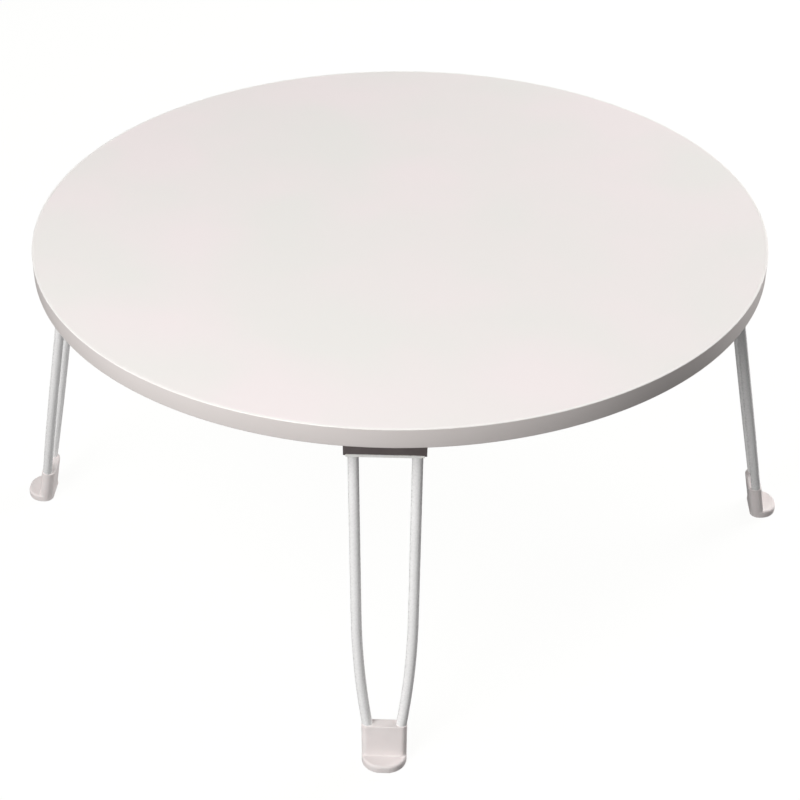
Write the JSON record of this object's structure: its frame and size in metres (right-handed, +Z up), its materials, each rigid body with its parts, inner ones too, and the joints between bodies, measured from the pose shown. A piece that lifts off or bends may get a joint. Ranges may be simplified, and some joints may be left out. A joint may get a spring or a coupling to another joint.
{
  "type": "folding low table",
  "caption": "Round white low table on splayed U-shaped rod legs with plastic boots; each leg turns on a pin in a stamped bracket and folds under the top.",
  "frame": {"origin": "middle of the table's footprint, on the floor", "axes": "+Z up, -Y towards the front leg of the picture, +X towards the right leg"},
  "size_m": [0.6838, 0.6838, 0.29],
  "materials": {
    "fibreboard": "raw medium density fibreboard, hidden inside the top",
    "white_laminate": "satin white melamine laminate",
    "white_edge_band": "satin white thermoplastic edge band",
    "white_rod_paint": "white powder coat on steel rod",
    "dark_bracket_paint": "dark grey paint on pressed steel",
    "zinc_steel": "bright zinc plate",
    "white_nylon": "plain moulded nylon",
    "white_boot_plastic": "soft moulded plastic with a low gloss"
  },
  "bodies": {
    "tabletop": {"core_board": "fibreboard", "top_laminate": "white_laminate", "underside_laminate": "white_laminate", "edge_band": "white_edge_band", "bracket_front": "dark_bracket_paint", "stop_strip_front": "white_nylon", "hinge_pin_front": "zinc_steel", "bracket_right": "dark_bracket_paint", "stop_strip_right": "white_nylon", "hinge_pin_right": "zinc_steel", "bracket_back": "dark_bracket_paint", "stop_strip_back": "white_nylon", "hinge_pin_back": "zinc_steel", "bracket_left": "dark_bracket_paint", "stop_strip_left": "white_nylon", "hinge_pin_left": "zinc_steel", "push_nuts": "zinc_steel", "bracket_screws": "zinc_steel"},
    "leg_front": {"leg_rod_front": "white_rod_paint", "foot_boot_front": "white_boot_plastic"},
    "leg_right": {"leg_rod_right": "white_rod_paint", "foot_boot_right": "white_boot_plastic"},
    "leg_back": {"leg_rod_back": "white_rod_paint", "foot_boot_back": "white_boot_plastic"},
    "leg_left": {"leg_rod_left": "white_rod_paint", "foot_boot_left": "white_boot_plastic"}
  },
  "joints": [
    {"name": "fold_front", "type": "hinge", "parent": "tabletop", "child": "leg_front", "pos_m": [0, -0.2755, 0.264], "axis": [1, 0, 0], "range_deg": [0, 101]},
    {"name": "fold_right", "type": "hinge", "parent": "tabletop", "child": "leg_right", "pos_m": [0.2755, 0, 0.264], "axis": [0, 1, 0], "range_deg": [0, 95]},
    {"name": "fold_back", "type": "hinge", "parent": "tabletop", "child": "leg_back", "pos_m": [0, 0.2755, 0.264], "axis": [-1, 0, 0], "range_deg": [0, 101]},
    {"name": "fold_left", "type": "hinge", "parent": "tabletop", "child": "leg_left", "pos_m": [-0.2755, 0, 0.264], "axis": [0, -1, 0], "range_deg": [0, 95]}
  ]
}
